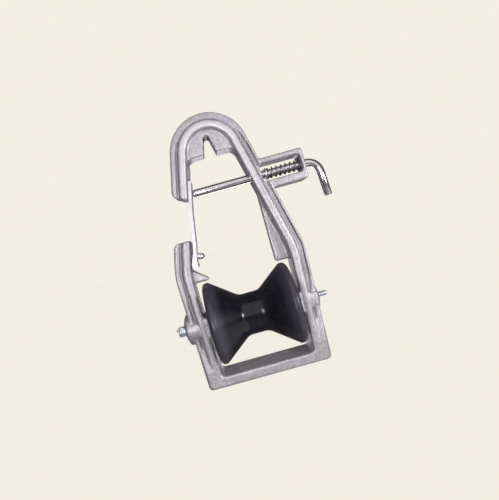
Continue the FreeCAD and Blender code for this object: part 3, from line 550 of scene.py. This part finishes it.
def section_place(x, z):
    """Offset outwards from the frame's inner edge, and way down from where the hook meets the leg."""
    x, rise = abs(x), z - HOOK_CENTRE_Z
    down = x * math.sin(LEG_LEAN) - rise * math.cos(LEG_LEAN)
    if down <= 0:
        turn = math.pi / 2 - LEG_LEAN - math.atan2(x, rise)
        return math.hypot(x, rise) - HOOK_RADIUS, -CROWN_REACH * turn
    leg = x * math.cos(LEG_LEAN) + rise * math.sin(LEG_LEAN) - HOOK_RADIUS
    arm = (x - BEND_HALF_WIDTH - (z - BEND_Z) * math.tan(ARM_LEAN)) * math.cos(ARM_LEAN)
    return (leg if z > BEND_Z else arm), down


def face_reach(x, z):
    """How far from the middle plane the cast face may stand: a crowned bead, a valley and a lip."""
    offset, down = section_place(x, z)
    if offset < BEAD_WIDTH:
        crown = BEAD_CROWN * eased(z, FOOT_CLEAR_Z, FOOT_FADE_Z)
        return BEAD_FACE_Y - crown * (2 * max(offset, 0.0) / BEAD_WIDTH - 1) ** 2
    floor, outer = VALLEY_FLOOR_Y, VALLEY_OUTER
    depth = eased(down, VALLEY_START, 0.0)
    if x > 0:
        wide = eased(down, VALLEY_START, VALLEY_FULL) * eased(z, ARM_VALLEY_END_Z, ARM_VALLEY_FULL_Z)
        floor += (LEG_VALLEY_FLOOR_Y - VALLEY_FLOOR_Y) * wide
        outer += (LEG_VALLEY_OUTER - VALLEY_OUTER) * wide
    lip = LIP_FACE_Y - LIP_FALL * max((offset - outer) / (SECTION_WIDTH - outer), 0.0) ** 2
    inside = 1 - eased(offset, outer - VALLEY_SIDE / 2, outer + VALLEY_SIDE / 2)
    return lip - (LIP_FACE_Y - floor) * depth * inside


def on_soft_face(x, y, z):
    """Whether a point of the skin is on the section's front or back, clear of the foot and bosses."""
    if z < FOOT_CLEAR_Z or abs(y) < LEG_VALLEY_FLOOR_Y:
        return False
    offset = section_place(x, z)[0]
    if offset >= BEAD_WIDTH:
        return offset < SECTION_WIDTH and z >= FOOT_FADE_Z and abs(y) <= LIP_SKIN_Y
    return offset > 0


def shape_faces(mesh):
    """Moves the cast front and back faces in to the section's soft form, on the hook, legs and arms."""
    for point in mesh.vertices:
        x, y, z = point.co
        if on_soft_face(x, y, z):
            reach = face_reach(x, z)
            if abs(y) > reach:
                point.co.y = math.copysign(reach, y)


def evaluated_mesh(piece):
    """The piece's mesh with its modifiers worked in."""
    mesh = bpy.data.meshes.new_from_object(piece.evaluated_get(bpy.context.evaluated_depsgraph_get()))
    piece.modifiers.clear()
    piece.data = mesh
    return mesh


def make_casting(material):
    """The casting with a rounded bead, a valley that fades at its ends, and corners worn soft."""
    piece = bpy.data.objects.new("worn_casting", nodes["frame_casting"].data.copy())
    scene.collection.objects.link(piece)
    skin = piece.modifiers.new("skin", "REMESH")
    skin.mode = "VOXEL"
    skin.voxel_size = CAST_GRID
    skin.use_smooth_shade = True
    shape_faces(evaluated_mesh(piece))
    wear = piece.modifiers.new("wear", "SMOOTH")
    wear.factor = CAST_WEAR_FACTOR
    wear.iterations = CAST_WEAR_STEPS
    fewer = piece.modifiers.new("fewer", "DECIMATE")
    fewer.ratio = CAST_KEPT_FACES
    worn = evaluated_mesh(piece)
    worn.materials.clear()
    worn.materials.append(material)
    return piece


def thread_radius(turn, crest):
    """Radius on a thread at a share of its turn: a flat crest, two flanks and a flat root."""
    share = abs((turn % 1.0) * 2 - 1)
    flank = (share - THREAD_FLAT) / (1 - 2 * THREAD_FLAT)
    return crest - THREAD_DEPTH * min(max(flank, 0.0), 1.0)


def stud_ring(x, low_x, high_x, crest, threaded):
    """Ring of the stud, chamfered where it is near an end."""
    limit = crest - STUD_CHAMFER + min(x - low_x, high_x - x, STUD_CHAMFER)
    ring = []
    for j in range(THREAD_SEGMENTS):
        angle = 2 * math.pi * j / THREAD_SEGMENTS
        radius = thread_radius(x / THREAD_PITCH - angle / (2 * math.pi), crest) if threaded else crest
        radius = min(radius, limit)
        ring.append((x, radius * math.sin(angle), AXLE_HEIGHT + radius * math.cos(angle)))
    return ring


def make_stud(material):
    """Axle stud with real threads on both ends."""
    low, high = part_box("axle_stud")
    crest = (high.y - low.y) / 2
    step = THREAD_PITCH / THREAD_STEPS
    left = [low.x + i * step for i in range(round(THREAD_LENGTH_LEFT / step))]
    right = [high.x - i * step for i in range(round(THREAD_LENGTH_RIGHT / step))][::-1]
    rings = [stud_ring(x, low.x, high.x, crest, True) for x in left]
    rings.append(stud_ring(left[-1] + step, low.x, high.x, crest, False))
    rings.append(stud_ring(right[0] - step, low.x, high.x, crest, False))
    rings += [stud_ring(x, low.x, high.x, crest, True) for x in right]
    return skin_of_rings("threaded_stud", rings, material)


def rod_ring(x, z, turn, radius):
    """Ring about a point of the bar, square to a direction turned down from the rod's axis."""
    ring = []
    for j in range(ROD_SEGMENTS):
        angle = 2 * math.pi * j / ROD_SEGMENTS
        up = radius * math.cos(angle)
        ring.append((x + up * math.sin(turn), radius * math.sin(angle), z + up * math.cos(turn)))
    return ring


def make_rod(material):
    """Plunger rod in one smooth skin from its domed nose to the chamfered end of its handle."""
    low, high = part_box("plunger_rod")
    radius = (high.y - low.y) / 2
    spring_low, spring_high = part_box("plunger_spring")
    z = (spring_low.z + spring_high.z) / 2
    bend_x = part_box("frame_casting")[1].x + HANDLE_STUB
    rings = []
    for i in range(1, NOSE_STEPS + 1):
        dome = math.pi / 2 * i / NOSE_STEPS
        rings.append(rod_ring(low.x + NOSE_LENGTH * (1 - math.cos(dome)), z, 0.0, radius * math.sin(dome)))
    for i in range(BEND_STEPS + 1):
        turn = HANDLE_TURN * i / BEND_STEPS
        x = bend_x + HANDLE_BEND_RADIUS * math.sin(turn)
        rings.append(rod_ring(x, z - HANDLE_BEND_RADIUS * (1 - math.cos(turn)), turn, radius))
    end_z = z - HANDLE_BEND_RADIUS * (1 - math.cos(HANDLE_TURN))
    leg = (end_z - z + HANDLE_DROP) / math.sin(HANDLE_TURN)
    for along, thinner in ((leg - HANDLE_CHAMFER, 0.0), (leg, HANDLE_CHAMFER)):
        place = x + along * math.cos(HANDLE_TURN), end_z - along * math.sin(HANDLE_TURN)
        rings.append(rod_ring(*place, HANDLE_TURN, radius - thinner))
    return skin_of_rings("bent_rod", rings, material)


def spring_rise(turns, pitch):
    """How far along its axis the spring has come after a number of turns."""
    first = min(turns, SPRING_CLOSED_TURNS)
    active = min(max(turns - SPRING_CLOSED_TURNS, 0.0), SPRING_ACTIVE_TURNS)
    last = max(turns - SPRING_CLOSED_TURNS - SPRING_ACTIVE_TURNS, 0.0)
    return (first + last) * SPRING_CLOSED_RISE + active * pitch


def spring_ring(middle_x, angle, low, high):
    """Ring of the wire at an angle round the spring, flat where it would pass the spring's ends."""
    centre_z = (low.z + high.z) / 2
    ring = []
    for j in range(SPRING_RING_SEGMENTS):
        around = 2 * math.pi * j / SPRING_RING_SEGMENTS
        away = SPRING_INNER_RADIUS + SPRING_WIRE_RADIUS + SPRING_WIRE_RADIUS * math.cos(around)
        x = min(max(middle_x + SPRING_WIRE_RADIUS * math.sin(around), low.x), high.x)
        ring.append((x, away * math.sin(angle), centre_z + away * math.cos(angle)))
    return ring


def make_spring(material):
    """Compression spring whose end turns lie closed and are ground flat."""
    low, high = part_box("plunger_spring")
    length = high.x - low.x
    closed_turns = 2 * SPRING_CLOSED_TURNS
    pitch = (length - SPRING_CLOSED_RISE * closed_turns) / SPRING_ACTIVE_TURNS
    rings = []
    for i in range(round((SPRING_ACTIVE_TURNS + closed_turns) * SPRING_STEPS_PER_TURN) + 1):
        turns = i / SPRING_STEPS_PER_TURN
        rings.append(spring_ring(low.x + spring_rise(turns, pitch), 2 * math.pi * turns, low, high))
    spring = skin_of_rings("coil_spring", rings, material)
    return spring, Vector((high.x, 0, (low.z + high.z) / 2)), 1 - SPRING_TRAVEL / length


def make_backdrop():
    """Glowing dome and plain floor that neither light nor shade the part."""
    bpy.ops.mesh.primitive_uv_sphere_add(radius=DOME_RADIUS, segments=DOME_SEGMENTS, ring_count=DOME_RINGS)
    dome = bpy.context.object
    dome.name = "backdrop"
    dome.data.materials.append(paper("backdrop_paper", BACKDROP_GLOW, BACKDROP_TINT))
    bpy.ops.mesh.primitive_circle_add(radius=FLOOR_RADIUS, vertices=FLOOR_SEGMENTS, fill_type="NGON")
    floor = bpy.context.object
    floor.name = "floor"
    floor.data.materials.append(paper("floor_paper", FLOOR_GLOW, FLOOR_TINT))
    for card in (dome, floor):
        card.visible_diffuse = False
        card.visible_glossy = False
        card.visible_shadow = False


def make_room():
    """Soft light from all round, stronger in reflections."""
    world = bpy.data.worlds.new("studio")
    scene.world = world
    world.use_nodes = True
    background = world.node_tree.nodes["Background"]
    background.inputs["Color"].default_value = ROOM_COLOUR
    ray = world.node_tree.nodes.new("ShaderNodeLightPath")
    strength = world.node_tree.nodes.new("ShaderNodeMapRange")
    strength.inputs["To Min"].default_value = ROOM_STRENGTH
    strength.inputs["To Max"].default_value = ROOM_GLOSS_STRENGTH
    world.node_tree.links.new(ray.outputs["Is Glossy Ray"], strength.inputs["Value"])
    world.node_tree.links.new(strength.outputs["Result"], background.inputs["Strength"])


make_camera()
scene.view_settings.view_transform = "Standard"

plated = plated_steel()
rod = rod_steel()
spring_wire = spring_steel()
gate = gate_steel()
hub = turned_metal("hub_aluminium", HUB_DULL, HUB_BRIGHT, HUB_ROUGHNESS)
bronze = turned_metal("bush_bronze", BRONZE_DULL, BRONZE_BRIGHT, BRONZE_ROUGHNESS)

casting = make_casting(cast_aluminium())
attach(casting, "frame")
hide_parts("frame_casting")

dress("roller_tyre", roller_rubber())
dress("roller_core", hub)
for name in ("left_bush", "right_bush"):
    dress(name, bronze)
for name in (
    "axle_sleeve", "left_thrust_washer", "right_thrust_washer", "nut_washer", "slotted_nut",
    "cotter_pin", "gate_hinge_pin", "gate_stop_stud", "spring_washer", "plunger_cross_pin",
):
    dress(name, plated)
dress("gate_strap", gate)

stud = make_stud(plated)
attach(stud, "frame")
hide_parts("axle_stud")

bar = make_rod(rod)
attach(bar, "plunger")
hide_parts("plunger_rod")

spring, spring_seat, spring_keep = make_spring(spring_wire)
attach(spring, "frame")
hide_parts("plunger_spring")
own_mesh(spring)

make_backdrop()
make_room()
for name, lamp in LAMPS.items():
    make_lamp(name, *lamp)
